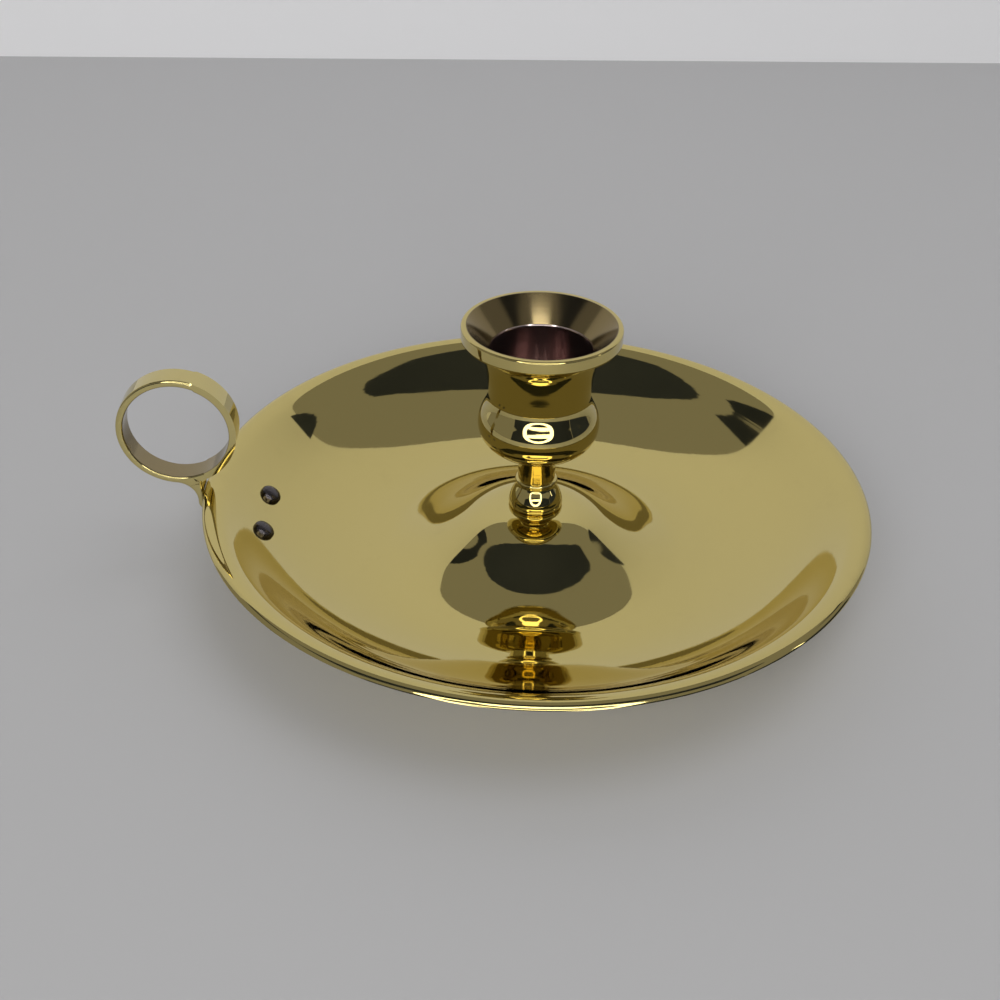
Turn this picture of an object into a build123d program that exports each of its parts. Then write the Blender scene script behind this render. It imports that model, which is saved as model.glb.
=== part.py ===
from build123d import *
import os
from math import asin, cos, degrees, hypot, isclose, radians, sin

# Chamberstick: a spun drip pan with a raised centre, a turned candle cup on a
# short stem, and a cast finger loop riveted under the pan's wall.
# Millimetres, +Z up. The origin is on the pan's axis, on the table.
# The finger loop stands out along -X.

# Drip pan, spun from one sheet
pan_radius = 76.2
pan_sheet = 0.9
pan_rim_height = 17.3
lip_reach = 5.8
crest_inset = 1.3
crest_rise = 0.85
dome_height = 12.5
dome_seat_radius = 7.0
rest_inner_radius = 35.6
rest_width = 3.0

# Candle cup, turned in one piece with its stem
foot_radius = 6.3
foot_round = 0.7
foot_height = 6.0
bead_radius = 4.9
bead_height = 1.3
neck_radius = 4.3
neck_height = 3.6
bulb_radius = 13.7
bulb_height = 19.6
waist_radius = 12.0
flare_height = 12.3
lip_radius = 17.6
lip_band = 3.1
lip_round = 0.5
lip_inner_radius = 16.3
bore_radius = 11.1
bore_depth = 20.5
bore_edge = 0.35
funnel_depth = 5.6

# Finger loop, cast with its neck and tail plate
loop_inner_radius = 11.6
loop_wall = 1.6
loop_width = 6.1
loop_overhang = 4.4
loop_lift = 16.1
loop_edge_round = 0.55
loop_inner_round = 0.45
strap_wall = 1.35
strap_gap = 0.1
web_round = 4.8
throat_round = 1.0
hook_drop = 2.8
hook_round = 2.0
tail_wall = 1.5
tail_margin = 4.2
tail_taper = 4.0
tail_reach_in = 5.9
tail_reach_out = 6.0
tail_corner = 4.0

# Two rivets through the wall and the tail plate
rivet_inset = 13.0
rivet_spacing = 14.6
rivet_shank = 1.2
rivet_head_radius = 2.5
rivet_head_height = 1.7
rivet_head_edge = 0.35
rivet_tail_radius = 1.9
rivet_tail_height = 0.9

# Centre screw and washer, out of sight under the raised centre
screw_shank = 2.0
screw_reach = 8.0
screw_tip = 0.4
screw_head_radius = 3.6
screw_head_height = 2.4
screw_head_round = 0.8
screw_slot_width = 1.0
screw_slot_depth = 1.2
washer_radius = 5.2
washer_wall = 0.8
washer_chamfer = 0.2

# Working clearances
thread_gap = 0.05
hole_gap = 0.1
tap_runout = 1.0
overrun = 2.0

# Shares of the way along each free curve: (outwards, upwards)
dome_flank_shares = [
    (0.105, 0.962), (0.262, 0.8), (0.35, 0.66), (0.455, 0.486),
    (0.56, 0.328), (0.664, 0.2), (0.769, 0.106), (0.874, 0.036), (0.94, 0.0085),
]
dish_shares = [
    (0.095, 0.011), (0.28, 0.088), (0.47, 0.222), (0.65, 0.405), (0.835, 0.692),
]
rim_turn_shares = (0.45, -1)
lip_curl_shares = [(0.34, 0.62), (0.66, 0.93)]
foot_flare_shares = [(0.26, 0.42), (0.72, 0.75)]
bulb_lower_shares = [(0.2, 0.17), (0.64, 0.355), (0.904, 0.62)]
bulb_belly_share = 0.56
bulb_side_shares = [(0.18, 0.48), (0.47, 0.83)]
flare_shares = [(0.02, 0.28), (0.16, 0.6), (0.5, 0.88)]
lip_turn_shares = (1, 0.4)
curve_samples = 16


def share_points(start, end, shares):
    """Points at the given shares of the way from start to end."""
    return [
        (start[0] + (end[0] - start[0]) * a, start[1] + (end[1] - start[1]) * b)
        for a, b in shares
    ]


def below(curve, distance, start=0.0, end=1.0):
    """Points that lie the given distance under a curve drawn outwards."""
    points = []
    for k in range(curve_samples + 1):
        t = start + (end - start) * k / curve_samples
        p, d = curve.position_at(t), curve.tangent_at(t)
        points.append((p.X + d.Y * distance, p.Y - d.X * distance))
    return points


def along(curve, radius):
    """How far along a curve it passes the given radius, from 0 to 1."""
    low, high = 0.0, 1.0
    for _ in range(40):
        middle = (low + high) / 2
        if curve.position_at(middle).X < radius:
            low = middle
        else:
            high = middle
    return low


# Pan outline as (outwards, upwards), later stood up in the XZ plane
seat_edge = (dome_seat_radius, dome_height)
rest_in = (rest_inner_radius, pan_sheet)
rest_out = (rest_inner_radius + rest_width, pan_sheet)
wall_top = (pan_radius - lip_reach, pan_rim_height - pan_sheet)
crest = (pan_radius - crest_inset, pan_rim_height + crest_rise)
rim_edge = (pan_radius, pan_rim_height)

flank_start = (dome_seat_radius, pan_sheet)
flank_end = (rest_inner_radius, dome_height)
with BuildLine() as pan_flank:
    Spline(
        seat_edge,
        *share_points(flank_start, flank_end, dome_flank_shares),
        rest_in,
        tangents=((1, 0), (1, 0)),
    )
with BuildLine() as pan_dish:
    Spline(
        rest_out,
        *share_points(rest_out, wall_top, dish_shares),
        wall_top,
        *share_points(wall_top, crest, lip_curl_shares),
        crest,
        rim_edge,
        tangents=((1, 0), rim_turn_shares),
    )
flank_curve = pan_flank.edges()[0]
dish_curve = pan_dish.edges()[0]
flank_under = below(flank_curve, pan_sheet)
dish_under = below(dish_curve, pan_sheet)
rim_lean = dish_curve.tangent_at(1)
with BuildLine() as pan_dish_under:
    Spline(*dish_under, tangents=((1, 0), (rim_lean.X, rim_lean.Y)))
under_curve = pan_dish_under.edges()[0]

# Each rivet stands square to the wall, either side of the loop
rivet_circle = pan_radius - rivet_inset
rivet_turn = degrees(asin(rivet_spacing / 2 / rivet_circle))
rivet_point = dish_curve.position_at(along(dish_curve, rivet_circle))
rivet_slope = dish_curve.tangent_at(along(dish_curve, rivet_circle))
rivet_planes = []
for turn in (180 - rivet_turn, 180 + rivet_turn):
    out_x, out_y = cos(radians(turn)), sin(radians(turn))
    rivet_planes.append(
        Plane(
            origin=(rivet_point.X * out_x, rivet_point.X * out_y, rivet_point.Y),
            x_dir=(-out_y, out_x, 0),
            z_dir=(-rivet_slope.Y * out_x, -rivet_slope.Y * out_y, rivet_slope.X),
        )
    )
rivet_grip = pan_sheet + tail_wall

# The raised centre has a round hole for the screw
hole_top = (screw_shank + hole_gap, dome_height)
hole_low = (screw_shank + hole_gap, dome_height - pan_sheet)

with BuildPart() as drip_pan:
    with BuildSketch(Plane.XZ):
        with BuildLine():
            Line(hole_top, seat_edge)
            add(pan_flank.line)
            Line(rest_in, rest_out)
            add(pan_dish.line)
            Line(rim_edge, dish_under[-1])
            add(pan_dish_under.line)
            Line(dish_under[0], flank_under[-1])
            Spline(*flank_under, tangents=((1, 0), (1, 0)))
            Line(flank_under[0], hole_low)
            Line(hole_low, hole_top)
        make_face()
    revolve(axis=Axis.Z)
    # Rivet holes through the wall
    with BuildSketch(*rivet_planes):
        Circle(rivet_shank)
    extrude(amount=rivet_grip, both=True, mode=Mode.SUBTRACT)

# Candle cup: heights up the turned piece
neck_bottom = dome_height + foot_height + bead_height
bulb_bottom = neck_bottom + neck_height
waist_height = bulb_bottom + bulb_height
lip_bottom = waist_height + flare_height
cup_top = lip_bottom + lip_band
bore_top = cup_top - funnel_depth
bore_floor = bore_top - bore_depth
bead_centre = dome_height + foot_height + bead_height / 2
tapped_top = dome_height + screw_reach + tap_runout
bulb_belly = (bulb_radius, bulb_bottom + bulb_height * bulb_belly_share)

with BuildPart() as candle_cup:
    with BuildSketch(Plane.XZ):
        with BuildLine():
            foot_side = (foot_radius, dome_height + foot_round)
            bead_low = (neck_radius, dome_height + foot_height)
            bead_high = (neck_radius, neck_bottom)
            bulb_start = (neck_radius, bulb_bottom)
            waist = (waist_radius, waist_height)
            lip_low = (lip_radius - lip_round, lip_bottom)
            lip_side = (lip_radius, lip_bottom + lip_round)
            lip_high = (lip_radius, cup_top - lip_round)
            lip_flat = (lip_radius - lip_round, cup_top)
            mouth = (lip_inner_radius, cup_top)
            Line((0, dome_height), (foot_radius - foot_round, dome_height))
            TangentArc((foot_radius - foot_round, dome_height), foot_side, tangent=(1, 0))
            Spline(
                foot_side,
                *share_points(foot_side, bead_low, foot_flare_shares),
                bead_low,
                tangents=((0, 1), (0, 1)),
            )
            ThreePointArc(bead_low, (bead_radius, bead_centre), bead_high)
            Line(bead_high, bulb_start)
            Spline(
                bulb_start,
                *share_points(bulb_start, bulb_belly, bulb_lower_shares),
                bulb_belly,
                *share_points(bulb_belly, waist, bulb_side_shares),
                waist,
                *share_points(waist, lip_low, flare_shares),
                lip_low,
                tangents=((0, 1), lip_turn_shares),
            )
            JernArc(lip_low, (1, 0), lip_round, 90)
            Line(lip_side, lip_high)
            JernArc(lip_high, (0, 1), lip_round, 90)
            Line(lip_flat, mouth)
            Line(mouth, (bore_radius, bore_top))
            Line((bore_radius, bore_top), (bore_radius, bore_floor))
            Line((bore_radius, bore_floor), (0, bore_floor))
            Line((0, bore_floor), (0, dome_height))
        make_face()
    revolve(axis=Axis.Z)
    # Tapped hole for the centre screw
    with BuildSketch(Plane.XY.offset(dome_height)):
        Circle(screw_shank + thread_gap)
    extrude(amount=screw_reach + tap_runout, mode=Mode.SUBTRACT)
    # The funnel runs into the bore over a small softened edge
    circles = candle_cup.edges().filter_by(GeomType.CIRCLE)
    bore_circles = circles.filter_by(lambda e: isclose(e.radius, bore_radius))
    fillet(bore_circles.sort_by(Axis.Z)[-1], bore_edge)


# Finger loop
strap_inner = pan_radius + strap_gap
strap_outer = strap_inner + strap_wall
loop_radius = loop_inner_radius + loop_wall
hook_height = pan_rim_height - hook_drop
loop_centre_radius = pan_radius + loop_overhang
loop_centre_height = pan_rim_height + loop_lift
tail_width = rivet_spacing + tail_margin * 2
tail_shoulder_width = tail_width - tail_taper * 2
tail_inner_radius = rivet_circle - tail_reach_in
tail_outer_radius = rivet_circle + tail_reach_out
tail_far = hypot(tail_outer_radius, tail_shoulder_width / 2) + tail_wall
tail_near = tail_inner_radius - tail_wall
tail_bottom = below(
    dish_curve,
    rivet_grip,
    along(dish_curve, tail_near - tail_wall),
    along(dish_curve, tail_far - rivet_grip / 2),
)
with BuildLine() as tail_under:
    Spline(*tail_bottom)
tail_curve = tail_under.edges()[0]
tail_roof = under_curve.trim(along(under_curve, tail_near), along(under_curve, tail_far))
hook_top = under_curve.position_at(along(under_curve, tail_outer_radius)).Y
hook_bottom = tail_curve.position_at(along(tail_curve, tail_outer_radius)).Y
tail_turn = degrees(tail_width / tail_inner_radius)
tail_out = (cos(radians(180 - tail_turn / 2)), sin(radians(180 - tail_turn / 2)), 0)
tail_plane = Plane(origin=(0, 0, 0), x_dir=tail_out, z_dir=(tail_out[1], -tail_out[0], 0))


def loop_underside(radius):
    """Height at which the band's outside passes the given radius."""
    across = loop_centre_radius - radius
    return loop_centre_height - (loop_radius**2 - across**2) ** 0.5


# The band and the strap that hooks round the rim, seen from the side
with BuildPart() as loop_band:
    with BuildSketch(Plane.XZ):
        with Locations((-loop_centre_radius, loop_centre_height)):
            Circle(loop_radius)
        with BuildLine():
            Polyline(
                (-strap_inner, loop_centre_height),
                (-strap_outer, loop_centre_height),
                (-strap_outer, hook_height - tail_wall),
                (-tail_outer_radius, hook_bottom),
                (-tail_outer_radius, hook_top),
                (-strap_inner, hook_height),
                close=True,
            )
        make_face()
    extrude(amount=loop_width / 2, both=True)
    for out, up, radius in (
        (strap_outer, hook_height - tail_wall, hook_round),
        (strap_inner, hook_height, throat_round),
        (strap_inner, loop_underside(strap_inner), throat_round),
        (strap_outer, loop_underside(strap_outer), web_round),
    ):
        across_edges = loop_band.edges().filter_by(Axis.Y)
        fillet(across_edges.sort_by_distance((-out, 0, up))[0], radius)
    with BuildSketch(Plane.XZ):
        with Locations((-loop_centre_radius, loop_centre_height)):
            Circle(loop_inner_radius)
    extrude(amount=loop_width, both=True, mode=Mode.SUBTRACT)
    for side in loop_band.faces().filter_by(Axis.Y):
        finger_edges = side.inner_wires()[0].edges()
        fillet(finger_edges, loop_inner_round)
    for side in loop_band.faces().filter_by(Axis.Y):
        outside = side.outer_wire().edges().filter_by(lambda e: e.center().X < -pan_radius)
        fillet(outside, loop_edge_round)

with BuildPart() as finger_loop:
    # The tail lies against the underside of the wall
    with BuildSketch(tail_plane):
        with BuildLine():
            add(tail_roof)
            add(tail_under.line)
            Line(tail_roof @ 0, tail_curve @ 0)
            Line(tail_roof @ 1, tail_curve @ 1)
        make_face()
    revolve(axis=Axis.Z, revolution_arc=tail_turn)
    # Its outline, seen from above, is a fan with rounded corners
    with BuildSketch() as tail_outline:
        with BuildLine():
            Polyline(
                (-tail_outer_radius, tail_shoulder_width / 2),
                (-tail_inner_radius, tail_width / 2),
                (-tail_inner_radius, -tail_width / 2),
                (-tail_outer_radius, -tail_shoulder_width / 2),
                close=True,
            )
        make_face()
        fillet(tail_outline.vertices(), tail_corner)
    extrude(amount=pan_rim_height, mode=Mode.INTERSECT)
    add(loop_band.part)
    with BuildSketch(*rivet_planes):
        Circle(rivet_shank)
    extrude(amount=rivet_grip + overrun, both=True, mode=Mode.SUBTRACT)

# Rivets, headed on the wall and spread under the tail
with BuildPart() as loop_rivets:
    for seat in rivet_planes:
        with BuildSketch(Plane(origin=seat.origin, x_dir=seat.x_dir, z_dir=-seat.y_dir)):
            with BuildLine():
                head_rim = (rivet_head_radius, rivet_head_edge)
                head_side = (rivet_head_radius, -pan_sheet / 2)
                shank_top = (rivet_shank, -pan_sheet / 2)
                shank_low = (rivet_shank, tail_wall / 2 - rivet_grip)
                tail_side = (rivet_tail_radius, tail_wall / 2 - rivet_grip)
                tail_rim = (rivet_tail_radius, -rivet_grip)
                tail_low = -rivet_grip - rivet_tail_height
                Line((0, tail_low), (0, rivet_head_height))
                TangentArc((0, rivet_head_height), head_rim, tangent=(1, 0))
                Line(head_rim, head_side)
                Line(head_side, shank_top)
                Line(shank_top, shank_low)
                Line(shank_low, tail_side)
                Line(tail_side, tail_rim)
                TangentArc((0, tail_low), tail_rim, tangent=(1, 0))
            make_face()
        revolve(axis=Axis(seat.origin, seat.z_dir))
    add(drip_pan.part, mode=Mode.SUBTRACT)
    add(finger_loop.part, mode=Mode.SUBTRACT)

# Washer and slotted screw under the raised centre
washer_top = dome_height - pan_sheet
with BuildPart() as screw_washer:
    with BuildSketch(Plane.XY.offset(washer_top - washer_wall)):
        Circle(washer_radius)
        Circle(screw_shank + hole_gap, mode=Mode.SUBTRACT)
    extrude(amount=washer_wall)
    washer_circles = screw_washer.edges().filter_by(GeomType.CIRCLE)
    chamfer(washer_circles.group_by(SortBy.RADIUS)[-1], washer_chamfer)

head_top = washer_top - washer_wall
with BuildPart() as centre_screw:
    with BuildSketch(Plane.XY.offset(head_top - screw_head_height)):
        Circle(screw_head_radius)
    extrude(amount=screw_head_height)
    fillet(centre_screw.edges().sort_by(Axis.Z)[0], screw_head_round)
    with BuildSketch(Plane.XY.offset(head_top - screw_head_height)):
        Rectangle(screw_head_radius * 2 + overrun, screw_slot_width)
    extrude(amount=screw_slot_depth, mode=Mode.SUBTRACT)
    with BuildSketch(Plane.XY.offset(head_top)):
        Circle(screw_shank)
    extrude(amount=dome_height + screw_reach - head_top)
    chamfer(centre_screw.edges().sort_by(Axis.Z)[-1], screw_tip)

os.makedirs("parts", exist_ok=True)
drip_pan.part.label = "drip_pan"
candle_cup.part.label = "candle_cup"
finger_loop.part.label = "finger_loop"
loop_rivets.part.label = "loop_rivets"
centre_screw.part.label = "centre_screw"
screw_washer.part.label = "screw_washer"
export_step(drip_pan.part, "parts/drip_pan.step")
export_step(candle_cup.part, "parts/candle_cup.step")
export_step(finger_loop.part, "parts/finger_loop.step")
export_step(loop_rivets.part, "parts/loop_rivets.step")
export_step(centre_screw.part, "parts/centre_screw.step")
export_step(screw_washer.part, "parts/screw_washer.step")
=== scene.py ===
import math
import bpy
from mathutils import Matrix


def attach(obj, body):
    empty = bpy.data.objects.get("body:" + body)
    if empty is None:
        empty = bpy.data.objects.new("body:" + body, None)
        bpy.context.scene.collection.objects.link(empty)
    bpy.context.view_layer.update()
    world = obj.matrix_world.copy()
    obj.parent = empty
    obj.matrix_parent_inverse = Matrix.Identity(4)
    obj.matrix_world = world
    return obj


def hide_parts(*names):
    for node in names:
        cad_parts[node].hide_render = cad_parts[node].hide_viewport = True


bl_info = {
    "name": "Chamberstick with finger loop",
    "version": (1, 0, 0),
    "blender": (4, 5, 0),
    "location": "3D View > Sidebar > Chamberstick",
    "description": "Spins, turns and finishes a low chamberstick over its packed frame",
    "category": "Object",
}

import bpy
from mathutils import Matrix, Vector

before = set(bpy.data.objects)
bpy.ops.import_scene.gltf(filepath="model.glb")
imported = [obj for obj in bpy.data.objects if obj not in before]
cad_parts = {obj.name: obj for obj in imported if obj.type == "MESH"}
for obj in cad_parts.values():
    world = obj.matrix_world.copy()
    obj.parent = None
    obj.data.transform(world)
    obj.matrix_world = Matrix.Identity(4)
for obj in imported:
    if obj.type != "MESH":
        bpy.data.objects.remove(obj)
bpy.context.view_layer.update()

FULL_TURN = math.tau
SQUARE_TURN = math.radians(90)
QUARTER_ARC = 0.5523  # handle of a quarter round, as a share of its radius
LONGEST_ARC = math.radians(60)  # turn that one Bezier segment follows closely
MERGE = 1e-6  # points nearer than this are one, in metres
LEVEL = 1e-4  # how far the normal of a flat side may be off
HALVINGS, CORRECTIONS = 40, 20  # rounds of search for a place on a curve
PLATE_STEPS = 8  # runs between the points that the plate's section takes from the wall

# Wear: scale, detail and roughness of each noise, and the levels between which it shows
SMUDGE_NOISE, SMUDGE_LEVELS = (38.0, 5.0, 0.62), (0.48, 0.78)
BLOOM_NOISE, BLOOM_LEVELS = (120.0, 6.0, 0.7), (0.58, 0.82)
GRAIN_NOISE = (900.0, 3.0, 0.5)

# Free curves, as shares of the way from one named point to the next
DOME_FLANK_SHARES = [
    (0.105, 0.962), (0.262, 0.8), (0.35, 0.66), (0.455, 0.486), (0.56, 0.328),
    (0.664, 0.2), (0.769, 0.106), (0.874, 0.036), (0.94, 0.0085),
]
DISH_SHARES = [(0.095, 0.011), (0.28, 0.088), (0.47, 0.222), (0.65, 0.405), (0.835, 0.692)]
LIP_CURL_SHARES = [(0.34, 0.62), (0.66, 0.93)]
FOOT_FLARE_SHARES = [(0.26, 0.42), (0.72, 0.75)]
BULB_LOWER_SHARES = [(0.351, 0.247), (0.702, 0.462), (0.904, 0.677)]
BULB_BELLY_SHARE = 0.5196
BULB_SIDE_SHARES = [(0.178, 0.314), (0.667, 0.593), (0.978, 0.826)]
FLARE_SHARES = [(0.062, 0.280), (0.186, 0.592), (0.522, 0.880)]
# Directions in which the curves end
RIM_TURN = (0.45, -1)
LIP_TURN = (1, 0.4)

# Camera where the photograph was taken from, in degrees, metres and millimetres
CAMERA_PITCH, CAMERA_ROLL, CAMERA_HEADING = 33.91, 1.2, -2.87
CAMERA_PLACE = (-0.02097, -0.25237, 0.1829)
CAMERA_SENSOR, CAMERA_LENS, CAMERA_CLIP = 36, 46.8, 0.01

# Stage, in metres. The card's far edge is given as shares of its half width and depths, the level sheets by
# their corners, the upright ones by place, size and heading in degrees, the lamps by place, size and share.
CARD_FAR_EDGE = [
    (-1, 0.12), (-0.82, 0.06), (-0.67, 0.02), (-0.36, -0.02), (0, -0.045), (0.36, -0.045), (0.67, -0.01),
    (0.82, 0.03), (0.92, 0.04), (0.98, 0), (1, -0.07),
]
LEFT_WING = [(-0.98, 0.253), (-1.134, 0.372), (-1.29, 0.753), (-1.015, 0.753)]
LEFT_WING_LIFT = 1.95
RIGHT_WING = [(0.64, 0.41), (0.675, 0.21), (0.86, 0.41)]
RIGHT_WING_LIFT = 0.97
DARK_WALLS = {
    "dark_wall": ((0.15, -0.78, 0.216), (2.4, 0.43), 0),
    "dark_side": ((1.35, -0.2, 0.216), (1.1, 0.43), 90),
}
STRIP_LIGHT = ((0.74, -0.13, 0.25), (0.025, 0.17), 90)
WINDOW_PLACE, WINDOW_SIZE, WINDOW_DROP = (-0.01, -0.4), (0.3, 0.16), 0.03
BAR_LENGTH, BAR_WIDTH, BAR_DROP = 1.6, 1.4, 0.43
SOFT_LAMPS = {
    "soft_front": ((-0.3, -1.25, 0.6), (1.2, 0.8), 1),
    "soft_top": ((0.5, 0.1, 1.5), (1.2, 1.2), 0.3),
}
LAMP_AIM = Vector((0, 0, 0.03))


def length(name, default, description):
    """A size in metres that shows in the units the user works in."""
    return bpy.props.FloatProperty(
        name=name, description=description, default=default, min=0.0, unit="LENGTH", precision=5
    )


def colour(name, default, description):
    """A surface colour."""
    return bpy.props.FloatVectorProperty(
        name=name, description=description, default=default, min=0.0, max=1.0, size=3, subtype="COLOR"
    )


def factor(name, default, description):
    """A number between nothing and all."""
    return bpy.props.FloatProperty(
        name=name, description=description, default=default, min=0.0, max=1.0, subtype="FACTOR"
    )


def strength(name, default, description):
    """Power of a light."""
    return bpy.props.FloatProperty(name=name, description=description, default=default, min=0.0)


class PanSizes(bpy.types.PropertyGroup):
    """Sizes of the spun drip pan."""

    radius: length("Radius", 0.0762, "Axis to the outer edge of the lip")
    sheet: length("Sheet", 0.0009, "Thickness of the brass sheet")
    rim_height: length("Rim height", 0.0173, "Table to the lip's outer edge")
    lip_reach: length("Lip reach", 0.0058, "Width of the rolled-out lip")
    crest_inset: length("Crest inset", 0.0013, "Outer edge to the top of the lip's curl")
    crest_rise: length("Crest rise", 0.00085, "How far the curl stands above the outer edge")
    dome_height: length("Dome height", 0.0125, "Table to the top of the raised centre")
    seat_radius: length("Seat radius", 0.007, "Flat on top of the raised centre")
    rest_inner: length("Rest ring inside", 0.0356, "Inner radius of the flat that the pan stands on")
    rest_width: length("Rest ring width", 0.003, "Width of the flat that the pan stands on")
    screw_hole: length("Screw hole", 0.0021, "Radius of the hole for the centre screw")


class CupSizes(bpy.types.PropertyGroup):
    """Sizes of the turned candle cup and its stem."""

    foot_radius: length("Foot radius", 0.0063, "Stem where it stands on the pan")
    foot_round: length("Foot rounding", 0.0007, "Rounded lower edge of the foot")
    foot_height: length("Foot height", 0.006, "Pan to the bead")
    bead_radius: length("Bead radius", 0.0049, "Small bead above the foot")
    bead_height: length("Bead height", 0.0013, "Height of the small bead")
    neck_radius: length("Neck radius", 0.0043, "Narrowest place of the stem")
    neck_height: length("Neck height", 0.0051, "Bead to the bulb")
    bulb_radius: length("Bulb radius", 0.0137, "Widest place of the bulb")
    bulb_height: length("Bulb height", 0.0179, "Neck to the waist")
    waist_radius: length("Waist radius", 0.01145, "Narrow place under the flare")
    flare_height: length("Flare height", 0.0125, "Waist to the lip band")
    lip_radius: length("Lip radius", 0.0176, "Outside of the lip band")
    lip_band: length("Lip band", 0.0031, "Height of the lip band")
    lip_round: length("Lip rounding", 0.0005, "Rounded edges of the lip band")
    lip_inner: length("Mouth radius", 0.0163, "Inner edge of the lip's flat top")
    bore_radius: length("Bore radius", 0.0111, "Hole for the candle")
    bore_depth: length("Bore depth", 0.0205, "Depth of the straight bore")
    bore_edge: length("Bore edge", 0.00035, "Softened edge between funnel and bore")
    funnel_depth: length("Funnel depth", 0.0056, "Mouth to the straight bore")
    tapped_radius: length("Tapped hole", 0.00205, "Hole for the centre screw")
    tapped_depth: length("Tapped depth", 0.009, "Depth of the tapped hole")


class LoopSizes(bpy.types.PropertyGroup):
    """Sizes of the cast finger loop, its strap round the rim and the plate under the wall."""

    inner_radius: length("Inside radius", 0.0116, "Hole for the finger")
    wall: length("Wall", 0.0016, "Thickness of the ring")
    width: length("Width", 0.0061, "Width of the ring across the finger")
    overhang: length("Overhang", 0.0044, "Pan's edge to the ring's centre")
    lift: length("Lift", 0.0161, "Pan's edge up to the ring's centre")
    edge_round: length("Edge rounding", 0.00055, "Softened outer edges of ring and strap")
    inner_edge: length("Inner edge", 0.00045, "Softened edges of the finger hole")
    strap_wall: length("Strap", 0.00135, "Thickness of the strap round the rim")
    strap_gap: length("Strap gap", 0.0001, "Room between the strap and the rim")
    web_round: length("Web rounding", 0.0048, "Hollow between the ring and the strap's outside")
    throat_round: length("Throat rounding", 0.001, "Hollow between the ring and the strap's inside")
    hook_drop: length("Hook drop", 0.0028, "Pan's edge down to the top of the hook")
    hook_round: length("Hook rounding", 0.002, "Outer corner where the strap turns under the rim")
    plate: length("Plate", 0.0015, "Thickness of the plate under the wall")
    plate_in: length("Plate inwards", 0.0059, "Rivets to the plate's inner end")
    plate_out: length("Plate outwards", 0.006, "Rivets to the plate's outer end")
    plate_margin: length("Plate margin", 0.0042, "Rivet to the side of the plate's wide end")
    plate_taper: length("Plate taper", 0.004, "How much each side draws in towards the rim")
    plate_corner: length("Plate corner", 0.004, "Rounded corners of the plate")
    keep_square: length("Square part", 0.0762, "The strap's edges stay square nearer the axis than this")


class RivetSizes(bpy.types.PropertyGroup):
    """Sizes of the two rivets."""

    inset: length("Inset", 0.013, "Pan's edge in to the rivets")
    spacing: length("Spacing", 0.0146, "Between the two rivets")
    shank: length("Shank radius", 0.0012, "Rivet through the sheet")
    head_radius: length("Head radius", 0.0025, "Domed head inside the pan")
    head_height: length("Head height", 0.0017, "Height of the domed head")
    head_edge: length("Head edge", 0.00035, "Straight edge under the dome")
    tail_radius: length("Tail radius", 0.0019, "Spread end under the plate")
    tail_height: length("Tail height", 0.0009, "Height of the spread end")


class Finishes(bpy.types.PropertyGroup):
    """Colours and polish of the metals, and the colours that paint light and shade into the holes."""

    pan_brass: colour("Pan brass", (0.64, 0.53, 0.205), "Polished sheet brass")
    cup_brass: colour("Cup brass", (0.62, 0.51, 0.195), "Polished turned brass")
    loop_brass: colour("Loop brass", (0.64, 0.54, 0.23), "Polished cast brass")
    tarnish: colour("Tarnish", (0.36, 0.25, 0.1), "Brown bloom in corners and smudges")
    rivet_metal: colour("Rivet metal", (0.10, 0.09, 0.095), "Darkened steel of the rivets")
    screw_steel: colour("Screw steel", (0.55, 0.55, 0.54), "Plain steel of the centre screw")
    washer_brass: colour("Washer brass", (0.55, 0.42, 0.21), "Dull brass of the washer")
    polish: factor("Polish", 0.035, "Roughness of the polished brass")
    # Funnel colour: darker than the brass, painted shade and dark reflection inside the funnel; its satin
    # roughness is the real finish
    funnel_painted_shade: colour("Funnel brass", (0.26, 0.2, 0.095), "Satin brown brass of the funnel")
    # Bore colour: paler and pinker than the brass, painted light that lifts the deep bore so that its shade
    # renders dark reddish rather than black
    bore_painted_light: colour("Bore brass", (0.72, 0.6, 0.58), "Dark reddish brass of the bore")
    # Ring inside colour: darker than the brass, painted shade and dark reflection inside the finger loop;
    # its satin roughness is the real finish
    ring_inside_painted_shade: colour("Ring inside", (0.3, 0.24, 0.13), "Satin brass inside the finger loop")
    satin: factor("Satin", 0.14, "Roughness of the unpolished insides")


class StageLook(bpy.types.PropertyGroup):
    """Floor, backdrop and lights."""

    floor: colour("Floor", (0.54, 0.54, 0.545), "Colour of the floor")
    backdrop: colour("Backdrop", (0.86, 0.86, 0.87), "Colour of the backdrop")
    room: colour("Room", (0.256, 0.251, 0.25), "Soft light from all round")
    dark: colour("Dark card", (0.043, 0.054, 0.09), "Colour of the dark cards that the polish mirrors")
    reach: length("Reach", 0.9, "Half the width of the floor")
    behind: length("Behind", 0.42, "Object's axis to the backdrop")
    wall_height: length("Backdrop height", 0.68, "Height of the backdrop")
    card_height: length("Card height", 0.62, "Height of the dark card over the object")
    card_half: length("Card half width", 0.56, "Axis to the end of the dark card")
    card_near: length("Card near edge", 0.26, "Axis to the card's near edge")
    card_edge: length("Card edge", 0.022, "Width of the pale edge round the dark card")
    ring_radius: length("Ring light radius", 0.14, "Middle of the ring light round the camera")
    ring_band: length("Ring light band", 0.018, "Half the width of the ring light")
    soft: strength("Soft lamps", 14.0, "Strength of the broad lamps")
    key: strength("Ring light", 4.0, "Strength of the ring light")


def between(start, end, across, up):
    """Point at the given shares of the way from start to end."""
    return (start[0] + (end[0] - start[0]) * across, start[1] + (end[1] - start[1]) * up)


def share_points(start, end, shares):
    """Points at the given shares of the way from start to end."""
    return [between(start, end, *share) for share in shares]


def unit(x, y):
    """The same direction, one long."""
    size = math.hypot(x, y)
    return (x / size, y / size)


def heading(start, end):
    """Direction from start to end."""
    return unit(end[0] - start[0], end[1] - start[1])


def moved(point, along, amount):
    """The point moved along a direction."""
    return (point[0] + along[0] * amount, point[1] + along[1] * amount)


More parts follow.
